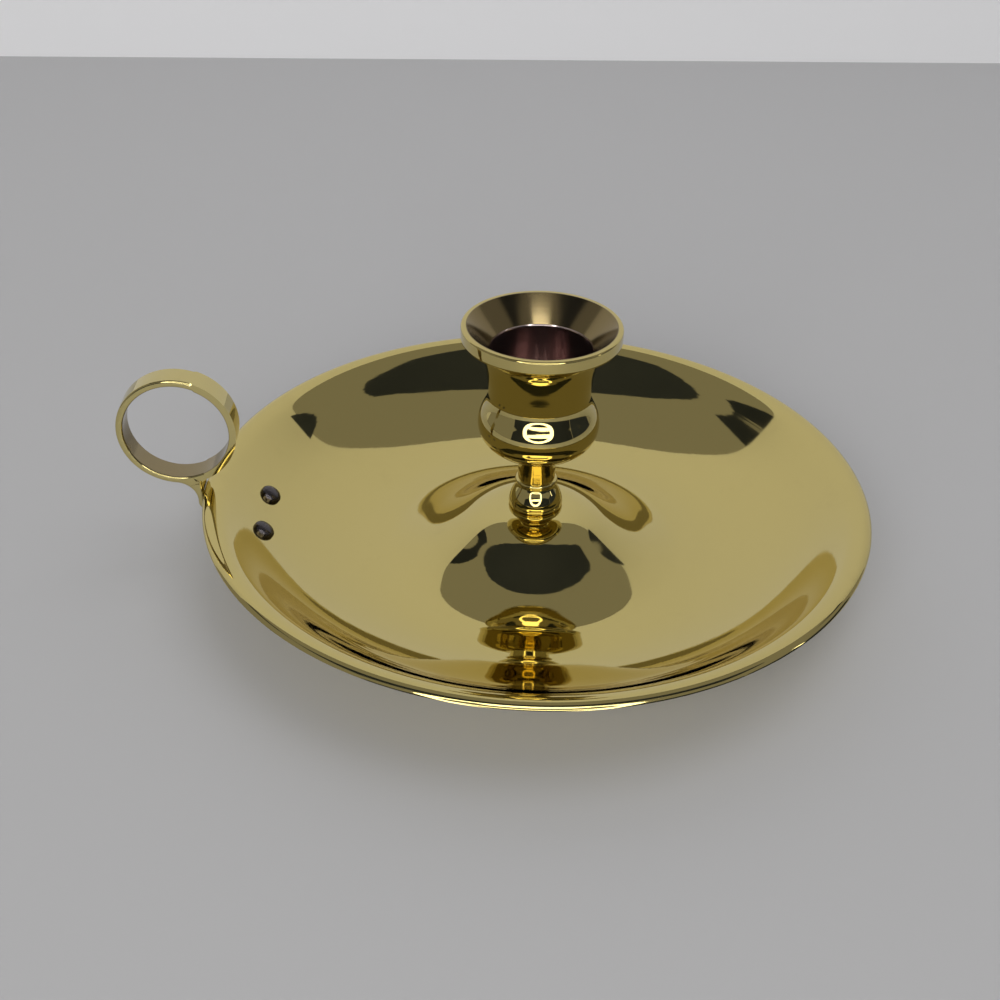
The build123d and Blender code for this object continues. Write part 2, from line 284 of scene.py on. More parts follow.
def curve_slopes(points, first, last):
    """Directions at each point of the smoothest curve through all of them."""
    count = len(points)
    gap = [math.dist(points[k], points[k + 1]) for k in range(count - 1)]
    slopes = []
    for axis in (0, 1):
        p = [point[axis] for point in points]
        lower, middle, upper, right = [0.0] * count, [1.0] * count, [0.0] * count, [0.0] * count
        right[0], right[-1] = first[axis], last[axis]
        for k in range(1, count - 1):
            lower[k] = gap[k]
            middle[k] = 2 * (gap[k - 1] + gap[k])
            upper[k] = gap[k - 1]
            rise_before = (p[k] - p[k - 1]) * gap[k] / gap[k - 1]
            rise_after = (p[k + 1] - p[k]) * gap[k - 1] / gap[k]
            right[k] = 3 * (rise_before + rise_after)
        for k in range(1, count):
            ratio = lower[k] / middle[k - 1]
            middle[k] -= ratio * upper[k - 1]
            right[k] -= ratio * right[k - 1]
        line = [0.0] * count
        line[-1] = right[-1] / middle[-1]
        for k in range(count - 2, -1, -1):
            line[k] = (right[k] - upper[k] * line[k + 1]) / middle[k]
        slopes.append(line)
    return list(zip(*slopes)), gap


class Outline:
    """A profile of straight runs, rounds and free curves, drawn as one Bezier curve."""

    def __init__(self, start):
        self.knots = [[start, None, None]]

    def line(self, *points):
        """Straight on to each point."""
        self.knots += [[point, None, None] for point in points]
        return self

    def bend(self, leave, arrive, end):
        """On to the end, with the handle that leaves the last point and the one that arrives."""
        self.knots[-1][2] = leave
        self.knots.append([end, arrive, None])
        return self

    def round(self, end, corner):
        """A quarter round towards the corner point and on to the end."""
        ends = (self.knots[-1][0], end)
        return self.bend(*(between(point, corner, QUARTER_ARC, QUARTER_ARC) for point in ends), end)

    def arc(self, centre, end_angle):
        """Round the centre to the given angle in degrees, from the last point."""
        start = self.knots[-1][0]
        radius = math.dist(start, centre)
        angle = math.atan2(start[1] - centre[1], start[0] - centre[0])
        turn = math.radians(end_angle) - angle
        pieces = max(1, math.ceil(abs(turn) / LONGEST_ARC))
        step = turn / pieces
        reach = radius * math.tan(step / 4) * 4 / 3
        for _ in range(pieces):
            leave = moved(self.knots[-1][0], (-math.sin(angle), math.cos(angle)), reach)
            angle += step
            end = moved(centre, (math.cos(angle), math.sin(angle)), radius)
            self.bend(leave, moved(end, (math.sin(angle), -math.cos(angle)), reach), end)
        return self

    def fillet(self, corner, after, radius):
        """A line towards the corner and a round of the given radius that leaves it for the point after."""
        back, on = heading(corner, self.knots[-1][0]), heading(corner, after)
        inner = math.acos(back[0] * on[0] + back[1] * on[1])
        cut_back = radius / math.tan(inner / 2)
        reach = radius * math.tan((math.pi - inner) / 4) * 4 / 3
        start, end = moved(corner, back, cut_back), moved(corner, on, cut_back)
        return self.line(start).bend(moved(start, back, -reach), moved(end, on, -reach), end)

    def curve(self, points, first, last):
        """A free curve through the points, with the given directions at its ends."""
        points = [self.knots[-1][0], *points]
        slopes, gap = curve_slopes(points, unit(*first), unit(*last))
        for k in range(1, len(points)):
            a, b, third = points[k - 1], points[k], gap[k - 1] / 3
            self.bend(moved(a, slopes[k - 1], third), moved(b, slopes[k], -third), b)
        return self


def deselect_all():
    """Nothing is selected or active."""
    bpy.ops.object.select_all(action="DESELECT")
    bpy.context.view_layer.objects.active = None


def pick(piece):
    """Only the piece is selected, and active."""
    deselect_all()
    piece.select_set(True)
    bpy.context.view_layer.objects.active = piece


def settle():
    """Puts the active object's place, turn and size into its mesh."""
    bpy.ops.object.transform_apply(location=True, rotation=True, scale=True)


def edit_all():
    """Edit mode with everything selected."""
    bpy.ops.object.mode_set(mode="EDIT")
    bpy.ops.mesh.select_all(action="SELECT")


def close_up():
    """From edit mode with a whole skin to object mode, with its normals outward."""
    bpy.ops.mesh.select_all(action="SELECT")
    bpy.ops.mesh.normals_make_consistent(inside=False)
    bpy.ops.object.mode_set(mode="OBJECT")


def draw_outline(outline, name, closed, steps):
    """The outline as a chain of edges in the upright plane through the axis."""
    deselect_all()
    bpy.ops.curve.primitive_bezier_curve_add(location=(0, 0, 0))
    drawn = bpy.context.object
    drawn.name = name
    drawn.data.dimensions = "3D"
    drawn.data.resolution_u = steps
    spline = drawn.data.splines[0]
    spline.bezier_points.add(len(outline.knots) - len(spline.bezier_points))
    spline.use_cyclic_u = closed
    for knot, point in zip(outline.knots, spline.bezier_points):
        place, near, far = knot
        point.handle_left_type = "FREE" if near else "VECTOR"
        point.handle_right_type = "FREE" if far else "VECTOR"
        point.co = (place[0], 0, place[1])
        if near:
            point.handle_left = (near[0], 0, near[1])
        if far:
            point.handle_right = (far[0], 0, far[1])
    bpy.ops.object.convert(target="MESH")
    return bpy.context.object


def spin_round(turns):
    """Spins the active object's edges once round the upright axis and closes the seam."""
    edit_all()
    bpy.ops.mesh.spin(steps=turns, angle=FULL_TURN, center=(0, 0, 0), axis=(0, 0, 1))
    bpy.ops.mesh.select_all(action="SELECT")
    bpy.ops.mesh.remove_doubles(threshold=MERGE)
    close_up()


def finish_piece(piece, name, nodes, material, sharp=35.0):
    """Names, smooths, dresses and places a finished piece in the frame."""
    pick(piece)
    settle()
    bpy.ops.object.shade_smooth_by_angle(angle=math.radians(sharp))
    piece.name = name
    piece.data.name = name
    piece.data.materials.clear()
    piece.data.materials.append(material)
    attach(piece, "root")
    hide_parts(*nodes)
    deselect_all()


# Outlines


def dish_points(pan):
    """Points of the pan's upper face, from the rest ring out over the lip."""
    rest_out = (pan.rest_inner + pan.rest_width, pan.sheet)
    wall_top = (pan.radius - pan.lip_reach, pan.rim_height - pan.sheet)
    crest = (pan.radius - pan.crest_inset, pan.rim_height + pan.crest_rise)
    dish = [rest_out, *share_points(rest_out, wall_top, DISH_SHARES), wall_top]
    return [*dish, *share_points(wall_top, crest, LIP_CURL_SHARES), crest, (pan.radius, pan.rim_height)]


def dish_place(pan, reach):
    """Point and direction of the pan's upper face at the given distance from the axis."""
    points = dish_points(pan)
    slopes, gap = curve_slopes(points, (1, 0), unit(*RIM_TURN))
    k = max(i for i in range(len(points) - 1) if points[i][0] <= reach)
    (x0, y0), (x1, y1) = points[k], points[k + 1]
    (u0, v0), (u1, v1) = slopes[k], slopes[k + 1]
    low, high = 0.0, 1.0
    for _ in range(HALVINGS):
        t = (low + high) / 2
        a, b = (1 + 2 * t) * (1 - t) ** 2, t * (1 - t) ** 2
        c, d = t * t * (3 - 2 * t), t * t * (t - 1)
        x = a * x0 + b * u0 * gap[k] + c * x1 + d * u1 * gap[k]
        low, high = (t, high) if x < reach else (low, t)
    y = a * y0 + b * v0 * gap[k] + c * y1 + d * v1 * gap[k]
    along = unit(u0 + (u1 - u0) * t, v0 + (v1 - v0) * t)
    return (x, y), along


def below(points, turns, depth):
    """The points moved square to the curve, to its underside."""
    sides = [unit(*turn) for turn in turns]
    return [moved(point, (side[1], -side[0]), depth) for point, side in zip(points, sides)]


def pan_outline(pan):
    """Section of the pan's sheet, from the screw hole out over the lip and back underneath."""
    seat = (pan.seat_radius, pan.dome_height)
    rest_in = (pan.rest_inner, pan.sheet)
    flank = [seat]
    flank += share_points((seat[0], rest_in[1]), (rest_in[0], seat[1]), DOME_FLANK_SHARES)
    flank.append(rest_in)
    dish = dish_points(pan)
    flank_turns, _ = curve_slopes(flank, (1, 0), (1, 0))
    dish_turns, _ = curve_slopes(dish, (1, 0), unit(*RIM_TURN))
    flank_under = below(flank, flank_turns, pan.sheet)
    dish_under = below(dish, dish_turns, pan.sheet)
    hole = pan.screw_hole
    section = Outline((hole, pan.dome_height)).line(seat)
    section.curve(flank[1:], (1, 0), (1, 0)).line(dish[0])
    section.curve(dish[1:], (1, 0), RIM_TURN)
    section.line(dish_under[-1])
    section.curve(dish_under[-2::-1], (-RIM_TURN[0], -RIM_TURN[1]), (-1, 0)).line(flank_under[-1])
    section.curve(flank_under[-2::-1], (-1, 0), (-1, 0))
    section.line((hole, pan.dome_height - pan.sheet))
    return section


def cup_height(cup):
    """Foot to mouth of the candle cup."""
    stem = cup.foot_height + cup.bead_height + cup.neck_height
    return stem + cup.bulb_height + cup.flare_height + cup.lip_band


def cup_outline(cup, base):
    """Section of the turned cup, from the top of its tapped hole round to the bore's floor."""
    bead_low = base + cup.foot_height
    bead_high = bead_low + cup.bead_height
    bulb_low = bead_high + cup.neck_height
    waist = (cup.waist_radius, bulb_low + cup.bulb_height)
    belly = (cup.bulb_radius, bulb_low + cup.bulb_height * BULB_BELLY_SHARE)
    lip_low = waist[1] + cup.flare_height
    top = lip_low + cup.lip_band
    bore_top = top - cup.funnel_depth
    bore_floor = bore_top - cup.bore_depth
    foot_side = (cup.foot_radius, base + cup.foot_round)
    neck = cup.neck_radius
    lip_turn = (cup.lip_radius - cup.lip_round, lip_low)
    section = Outline((0, base + cup.tapped_depth))
    section.line((cup.tapped_radius, base + cup.tapped_depth), (cup.tapped_radius, base))
    section.line((cup.foot_radius - cup.foot_round, base))
    section.round(foot_side, (cup.foot_radius, base))
    section.curve(
        [*share_points(foot_side, (neck, bead_low), FOOT_FLARE_SHARES), (neck, bead_low)], (0, 1), (0, 1)
    )
    bead_middle = (bead_low + bead_high) / 2
    section.round((cup.bead_radius, bead_middle), (cup.bead_radius, bead_low))
    section.round((neck, bead_high), (cup.bead_radius, bead_high))
    section.line((neck, bulb_low))
    rise = [*share_points((neck, bulb_low), belly, BULB_LOWER_SHARES), belly]
    rise += [*share_points(belly, waist, BULB_SIDE_SHARES), waist]
    rise += [*share_points(waist, lip_turn, FLARE_SHARES), lip_turn]
    section.curve(rise, (0, 1), LIP_TURN)
    section.round((cup.lip_radius, lip_low + cup.lip_round), (cup.lip_radius, lip_low))
    section.line((cup.lip_radius, top - cup.lip_round))
    section.round((cup.lip_radius - cup.lip_round, top), (cup.lip_radius, top))
    section.line((cup.lip_inner, top))
    slant = unit(cup.lip_inner - cup.bore_radius, cup.funnel_depth)
    edge = cup.bore_edge
    section.line(moved((cup.bore_radius, bore_top), slant, edge))
    section.round((cup.bore_radius, bore_top - edge), (cup.bore_radius, bore_top))
    section.line((cup.bore_radius, bore_floor), (0, bore_floor))
    return section


def loop_outline(loop, pan, plate_end):
    """Side view of ring, web, strap and hook, seen along the finger."""
    centre = (-pan.radius - loop.overhang, pan.rim_height + loop.lift)
    radius = loop.inner_radius + loop.wall
    inner_face = -pan.radius - loop.strap_gap
    outer_face = inner_face - loop.strap_wall
    hook_top = pan.rim_height - loop.hook_drop

    def hollow(x, bend):
        """Centre of the round hollow that runs from the ring into the upright line at x."""
        away = radius + abs(bend)
        return (x + bend, centre[1] - math.sqrt(away**2 - (x + bend - centre[0]) ** 2))

    def bearing(place):
        return math.degrees(math.atan2(place[1] - centre[1], place[0] - centre[0]))

    web = hollow(outer_face, -loop.web_round)
    throat = hollow(inner_face, loop.throat_round)
    turn = math.radians(bearing(throat))
    (_, roof), (_, floor) = (wall_under(pan, plate_end, depth) for depth in (0, loop.plate))
    bite = loop.plate / 3
    section = Outline(moved(centre, (math.cos(turn), math.sin(turn)), radius))
    section.arc(centre, bearing(web) + 360)
    section.arc(web, 0)
    section.fillet((outer_face, hook_top - loop.plate), (-plate_end, floor), loop.hook_round)
    section.line((-plate_end, floor), (bite - plate_end, floor + bite / 2), (bite - plate_end, roof - bite))
    section.line((-plate_end, roof))
    section.fillet((inner_face, hook_top), (inner_face, throat[1]), loop.throat_round)
    section.line((inner_face, throat[1]))
    section.arc(throat, bearing(throat) + 180)
    return section


def wall_under(pan, reach, depth):
    """Point the given depth below the wall's underside, found by its distance from the axis."""
    outer = reach
    for _ in range(CORRECTIONS):
        top, along = dish_place(pan, outer)
        (x, y), = below([top], [along], pan.sheet + depth)
        outer += reach - x
    return x, y


def plate_outline(loop, pan, near, far):
    """Section of the plate that lies against the wall's underside."""
    reaches = [near + (far - near) * k / PLATE_STEPS for k in range(PLATE_STEPS + 1)]
    roof = [wall_under(pan, reach, 0) for reach in reaches]
    floor = [wall_under(pan, reach, loop.plate) for reach in reaches]
    rise, fall = heading(roof[0], roof[1]), heading(roof[-2], roof[-1])
    section = Outline(roof[0])
    section.curve(roof[1:], rise, fall)
    section.line(floor[-1])
    section.curve(floor[-2::-1], (-fall[0], -fall[1]), (-rise[0], -rise[1]))
    return section


def rivet_outline(rivet, grip, sheet):
    """Section of a rivet about its own axis, head up, with the wall's top at nought."""
    section = Outline((0, -grip - rivet.tail_height))
    section.round((rivet.tail_radius, -grip), (rivet.tail_radius, -grip - rivet.tail_height))
    section.line((rivet.shank, -grip), (rivet.shank, -sheet / 3), (rivet.head_radius, -sheet / 3))
    section.line((rivet.head_radius, rivet.head_edge))
    section.round((0, rivet.head_height), (rivet.head_radius, rivet.head_height))
    return section


# Shaping


def combine(piece, tool, operation):
    """Joins, cuts or crops the piece with the tool, which is used up."""
    pick(piece)
    modifier = piece.modifiers.new(operation.title(), "BOOLEAN")
    modifier.operation = operation
    modifier.solver = "EXACT"
    modifier.object = tool
    bpy.ops.object.modifier_apply(modifier=modifier.name)
    bpy.data.objects.remove(tool)


def even_normals(piece):
    """Lets the large faces set the shading, so that flat sides stay flat up to their rounded rims."""
    modifier = piece.modifiers.new("Even normals", "WEIGHTED_NORMAL")
    modifier.keep_sharp = True
    bpy.context.view_layer.objects.active = piece
    bpy.ops.object.modifier_apply(modifier=modifier.name)


def soften_rims(piece, loop, centre):
    """In edit mode, rounds the rims of both flat sides, the finger hole's less than the outside's."""
    half = loop.width / 2
    middle = loop.inner_radius + loop.wall / 2
    mesh = piece.data
    for within, offset in ((True, loop.inner_edge), (False, loop.edge_round)):
        bpy.ops.mesh.select_all(action="DESELECT")
        bpy.ops.mesh.select_mode(type="EDGE")
        bpy.ops.object.mode_set(mode="OBJECT")
        sideways = {}
        for face in mesh.polygons:
            for key in face.edge_keys:
                sideways.setdefault(key, []).append(abs(abs(face.normal.y) - 1) < LEVEL)
        for edge in mesh.edges:
            a, b = (mesh.vertices[k].co for k in edge.vertices)
            rim = sorted(sideways[edge.key]) == [False, True]
            on_side = abs(a.y - b.y) < MERGE / 10 and abs(abs(a.y) - half) < MERGE
            inside = math.hypot(a.x - centre.x, a.z - centre.z) < middle
            square = min(a.x, b.x) > -loop.keep_square
            edge.select = rim and on_side and inside == within and not square
        bpy.ops.object.mode_set(mode="EDIT")
        bpy.ops.mesh.bevel(offset=offset, segments=4, affect="EDGES", clamp_overlap=True)


def plate_fan(loop, near, far, rivet, pan):
    """Upright block with the plate's outline, a fan with rounded corners."""
    wide = rivet.spacing / 2 + loop.plate_margin
    narrow = wide - loop.plate_taper
    corners = [(-far, narrow), (-near, wide), (-near, -wide), (-far, -narrow)]
    outline = Outline((-far, 0))
    for corner, after in zip(corners, corners[1:] + corners[:1]):
        outline.fillet(corner, after, loop.plate_corner)
    fan = draw_outline(outline, "fan", closed=True, steps=8)
    fan.rotation_euler = (-SQUARE_TURN, 0, 0)
    settle()
    edit_all()
    bpy.ops.mesh.edge_face_add()
    bpy.ops.mesh.extrude_region_move(TRANSFORM_OT_translate={"value": (0, 0, pan.rim_height)})
    close_up()
    return fan


# Finishes


def add_node(tree, kind, feeds=(), **settings):
    """A shader node with the given settings. Feeds are its inputs with the value or socket for each."""
    node = tree.nodes.new(kind)
    for name, value in settings.items():
        setattr(node, name, value)
    for label, value in dict(feeds).items():
        if isinstance(value, bpy.types.NodeSocket):
            tree.links.new(value, node.inputs[label])
        else:
            node.inputs[label].default_value = value
    return node


def maths(tree, operation, *terms):
    """Result of a maths node on the terms, which are numbers or sockets."""
    return add_node(tree, "ShaderNodeMath", enumerate(terms), operation=operation).outputs[0]


def vector_maths(tree, operation, *terms):
    """Result of a vector maths node on the terms."""
    node = add_node(tree, "ShaderNodeVectorMath", enumerate(terms), operation=operation)
    return node.outputs["Value" if operation == "LENGTH" else "Vector"]


def start_group(name, inputs, outputs):
    """A new shader group, its inputs and the object coordinates. A socket is its name, kind and default."""
    group = bpy.data.node_groups.new(name, "ShaderNodeTree")
    for direction, sockets in (("INPUT", inputs), ("OUTPUT", outputs)):
        for label, kind, *default in sockets:
            socket = group.interface.new_socket(label, in_out=direction, socket_type="NodeSocket" + kind)
            if default:
                socket.default_value = default[0]
    place = add_node(group, "ShaderNodeTexCoord").outputs["Object"]
    return group, add_node(group, "NodeGroupInput").outputs, place


def polish_wear_group():
    """Smudges, fine grain and tarnish of handled, polished brass, from object coordinates."""
    group = bpy.data.node_groups.get("Polish wear")
    if group:
        return group
    group, given, place = start_group(
        "Polish wear",
        [
            ("Bright", "Color"), ("Tarnish", "Color"), ("Polish", "Float", 0.03), ("Smudge", "Float", 0.06),
            ("Bloom", "Float", 0.1), ("Scale", "Float", 1.0),
        ],
        [("Color", "Color"), ("Roughness", "Float"), ("Height", "Float")],
    )
    feeds = {0: place, "Scale": given["Scale"]}
    scaled = add_node(group, "ShaderNodeVectorMath", feeds, operation="SCALE").outputs["Vector"]

    def noise(scale, detail, roughness):
        feeds = {"Vector": scaled, "Scale": scale, "Detail": detail, "Roughness": roughness}
        return add_node(group, "ShaderNodeTexNoise", feeds).outputs["Fac"]

    def patches(pattern, levels, amount):
        """The noise where it lies between the levels, times the amount."""
        feeds = {"Value": noise(*pattern), "From Min": levels[0], "From Max": levels[1]}
        span = add_node(group, "ShaderNodeMapRange", feeds)
        return maths(group, "MULTIPLY", span.outputs["Result"], amount)

    smudge = patches(SMUDGE_NOISE, SMUDGE_LEVELS, given["Smudge"])
    bloom = patches(BLOOM_NOISE, BLOOM_LEVELS, given["Bloom"])
    feeds = {"Factor": bloom, "A": given["Bright"], "B": given["Tarnish"]}
    tint = add_node(group, "ShaderNodeMix", feeds, data_type="RGBA").outputs["Result"]
    rough = maths(group, "ADD", smudge, given["Polish"])
    add_node(group, "NodeGroupOutput", {"Color": tint, "Roughness": rough, "Height": noise(*GRAIN_NOISE)})
    return group


def turning_marks_group():
    """Very fine rings left by spinning or turning, from the distance to the axis and the height."""
    group = bpy.data.node_groups.get("Turning marks")
    if group:
        return group
    group, given, place = start_group(
        "Turning marks", [("Rings per metre", "Float", 1500.0)], [("Height", "Float")]
    )
    parts = add_node(group, "ShaderNodeSeparateXYZ", {0: place}).outputs
    flat = add_node(group, "ShaderNodeCombineXYZ", {"X": parts["X"], "Y": parts["Y"]}).outputs[0]
    reach = vector_maths(group, "LENGTH", flat)
    along = add_node(group, "ShaderNodeCombineXYZ", {"X": reach, "Y": parts["Z"]}).outputs[0]
    feeds = {"Vector": along, "Scale": given["Rings per metre"], "Detail": 4.0}
    noise = add_node(group, "ShaderNodeTexNoise", feeds, noise_dimensions="2D")
    add_node(group, "NodeGroupOutput", {"Height": noise.outputs["Fac"]})
    return group


def hole_wall_group():
    """Mask of the inside of a round hole, which may flare upwards, from the distance to its axis."""
    group = bpy.data.node_groups.get("Hole wall")
    if group:
        return group
    group, given, place = start_group(
        "Hole wall",
        [
            ("Centre", "Vector"), ("Across", "Vector"), ("Radius", "Float"), ("Lowest", "Float"),
            ("Flare start", "Float"), ("Flare slope", "Float"),
        ],
        [("Mask", "Float")],
    )
    height = add_node(group, "ShaderNodeSeparateXYZ", {0: place}).outputs["Z"]
    aside = vector_maths(group, "SUBTRACT", place, given["Centre"])
    reach = vector_maths(group, "LENGTH", vector_maths(group, "MULTIPLY", aside, given["Across"]))
    above = maths(group, "MAXIMUM", maths(group, "SUBTRACT", height, given["Flare start"]), 0.0)
    limit = maths(group, "MULTIPLY_ADD", above, given["Flare slope"], given["Radius"])
    within = maths(group, "LESS_THAN", reach, limit)
    over = maths(group, "GREATER_THAN", height, given["Lowest"])
    add_node(group, "NodeGroupOutput", {"Mask": maths(group, "MULTIPLY", within, over)})
    return group


def satin_hole(material, hole_at, base, roughness):
    """Gives the inside of a round hole a colour that paints its light and shade, and a satin face."""
    tree = material.node_tree
    shader = tree.nodes["Principled BSDF"]
    mask = add_node(tree, "ShaderNodeGroup", hole_at, node_tree=hole_wall_group()).outputs["Mask"]
    for label, kind, value in (("Base Color", "RGBA", (*base, 1)), ("Roughness", "FLOAT", roughness)):
        feeds = {"Factor": mask, "A": shader.inputs[label].links[0].from_socket, "B": value}
        mix = add_node(tree, "ShaderNodeMix", feeds, data_type=kind)
        tree.links.new(mix.outputs["Result"], shader.inputs[label])


def new_material(name):
    """An empty node material with its output and Principled shader."""
    material = bpy.data.materials.new(name)
    material.use_nodes = True
    return material, material.node_tree, material.node_tree.nodes["Principled BSDF"]


def worn_metal(name, bright, tarnish, **amounts):
    """Metal dressed with the wear group, whose other inputs are given by name."""
    material, tree, shader = new_material(name)
    shader.inputs["Metallic"].default_value = 1.0
    feeds = {"Bright": (*bright, 1), "Tarnish": (*tarnish, 1), **amounts}
    wear = add_node(tree, "ShaderNodeGroup", feeds, node_tree=polish_wear_group())
    tree.links.new(wear.outputs["Color"], shader.inputs["Base Color"])
    tree.links.new(wear.outputs["Roughness"], shader.inputs["Roughness"])
    return material, tree, wear


def add_bump(tree, height, strength, distance):
    """Fine relief on the material's face."""
    bump = add_node(tree, "ShaderNodeBump", {"Strength": strength, "Distance": distance, "Height": height})
    tree.links.new(bump.outputs["Normal"], tree.nodes["Principled BSDF"].inputs["Normal"])


def polished_brass(name, bright, finishes, smudge, bloom, rings):
    """Polished, handled brass, with turning marks where rings per metre are given."""
    amounts = {"Polish": finishes.polish, "Smudge": smudge, "Bloom": bloom}
    material, tree, _ = worn_metal(name, bright, finishes.tarnish, **amounts)
    if rings:
        feeds = {"Rings per metre": rings}
        marks = add_node(tree, "ShaderNodeGroup", feeds, node_tree=turning_marks_group())
        add_bump(tree, marks.outputs["Height"], strength=0.06, distance=0.00004)
    return material


def plain_metal(name, base, roughness, grain, depth):
    """Unpolished metal with a fine grain, half as bright where it is stained."""
    stain = [channel * 0.5 for channel in base]
    amounts = {"Polish": roughness, "Smudge": 0.18, "Bloom": 0.6, "Scale": grain}
    material, tree, wear = worn_metal(name, base, stain, **amounts)
    add_bump(tree, wear.outputs["Height"], strength=0.5, distance=depth)
    return material


# Stage


def stage_surface(name, base, roughness, gloss=0.5):
    """Plain matt surface of the floor, backdrop or card."""
    material, _, shader = new_material(name)
    shader.inputs["Specular IOR Level"].default_value = gloss
    shader.inputs["Base Color"].default_value = (*base, 1)
    shader.inputs["Roughness"].default_value = roughness
    return material


def glow(name, strength):
    """A plain even light."""
    material, tree, _ = new_material(name)
    light = add_node(tree, "ShaderNodeEmission", {"Strength": strength})
    tree.links.new(light.outputs["Emission"], tree.nodes["Material Output"].inputs["Surface"])
    return material


def stage_plane(name, place, size):
    """A level rectangle of the stage."""
    deselect_all()
    bpy.ops.mesh.primitive_plane_add(size=1, location=place)
    plane = bpy.context.object
    plane.name = name
    plane.scale = (*size, 1)
    settle()
    return plane


def upright_plane(name, place, size, heading):
    """An upright rectangle of the stage, turned about the vertical by degrees."""
    plane = stage_plane(name, (0, 0, 0), size)
    plane.location, plane.rotation_euler = place, (SQUARE_TURN, 0, math.radians(heading))
    settle()
    return plane


def level_sheet(name, corners, height):
    """A level sheet of the stage with the given corners."""
    sheet = draw_outline(Outline(corners[0]).line(*corners[1:]), name, closed=True, steps=1)
    sheet.rotation_euler = (-SQUARE_TURN, 0, 0)
    sheet.location = (0, 0, height)
    settle()
    edit_all()
    bpy.ops.mesh.remove_doubles(threshold=MERGE * 10)
    bpy.ops.mesh.edge_face_add()
    bpy.ops.object.mode_set(mode="OBJECT")
    return sheet


def place_camera(scene):
    """The camera, and the direction that is up in its picture."""
    pitch, roll, heading = (math.radians(turn) for turn in (CAMERA_PITCH, CAMERA_ROLL, CAMERA_HEADING))
    ahead = Vector((-math.sin(heading), math.cos(heading), 0))
    side = Vector((math.cos(heading), math.sin(heading), 0))
    forward = ahead * math.cos(pitch) - Vector((0, 0, math.sin(pitch)))
    up = ahead * math.sin(pitch) + Vector((0, 0, math.cos(pitch)))
    right = side * math.cos(roll) + up * math.sin(roll)
    top = up * math.cos(roll) - side * math.sin(roll)
    deselect_all()
    bpy.ops.object.camera_add(location=(0, 0, 0))
    camera = bpy.context.object
    camera.name = "camera"
    turned = Matrix((right, top, -forward)).transposed().to_4x4()
    camera.matrix_world = Matrix.Translation(CAMERA_PLACE) @ turned
    camera.data.sensor_width = CAMERA_SENSOR
    camera.data.lens = CAMERA_LENS
    camera.data.clip_start = CAMERA_CLIP
    scene.camera = camera
    return camera, top


def dark_cards(look):
    """Dark card overhead with a pale edge, its two wings and the low dark walls."""
    half, near, height = look.card_half, -look.card_near, look.card_height
    far = [(half * share, depth) for share, depth in CARD_FAR_EDGE]
    card = level_sheet("dark_card", [(-half, near), *far, (half, near)], height)
    edit_all()
    bpy.ops.mesh.inset(thickness=look.card_edge, use_outset=True)
    bpy.ops.object.mode_set(mode="OBJECT")
    dark = stage_surface("Dark card", look.dark, roughness=0.9)
    card.data.materials.append(dark)
    card.data.materials.append(stage_surface("Pale edge", look.backdrop, roughness=0.9))
    widest = max(card.data.polygons, key=lambda face: face.area)
    for face in card.data.polygons:
        face.material_index = 0 if face == widest else 1
    others = [
        level_sheet("left_wing", LEFT_WING, height * LEFT_WING_LIFT),
        level_sheet("right_wing", RIGHT_WING, height * RIGHT_WING_LIFT),
    ]
    others += [upright_plane(name, *measures) for name, measures in DARK_WALLS.items()]
    for part in others:
        part.data.materials.append(dark)
    return [card, *others]


def mirrored_lights(look, camera, top):
    """Ring light with a bar round the camera, a strip at the right and a window above the camera."""
    deselect_all()
    bpy.ops.mesh.primitive_torus_add(
        major_radius=look.ring_radius, minor_radius=look.ring_band, major_segments=96, minor_segments=24,
        location=camera.location, rotation=camera.rotation_euler,
    )
    ring = bpy.context.object
    ring.name = "ring_light"
    bpy.ops.object.shade_smooth()
    settle()
    strip = upright_plane("strip_light", *STRIP_LIGHT)
    bar = stage_plane("bar_light", (0, 0, 0), (look.ring_radius * BAR_LENGTH, look.ring_band * BAR_WIDTH))
    bar.location = camera.location - top * look.ring_radius * BAR_DROP
    bar.rotation_euler = camera.rotation_euler
    settle()
    window = stage_plane("window_light", (*WINDOW_PLACE, look.card_height - WINDOW_DROP), WINDOW_SIZE)
    shine = glow("Ring light", look.key)
    for part in (ring, strip, bar, window):
        part.data.materials.append(shine)
    return [ring, strip, bar, window]


def soft_lamps(look):
    """Broad lamps that the polish doesn't mirror."""
    for name, (place, size, share) in SOFT_LAMPS.items():
        deselect_all()
        bpy.ops.object.light_add(type="AREA", location=place)
        lamp = bpy.context.object
        lamp.name = name
        lamp.data.shape = "RECTANGLE"
        lamp.data.size, lamp.data.size_y = size
        lamp.data.energy = look.soft * share
        lamp.visible_camera = False
        lamp.visible_glossy = False
        lamp.rotation_euler = (LAMP_AIM - lamp.location).to_track_quat("-Z", "Y").to_euler()


# Operators


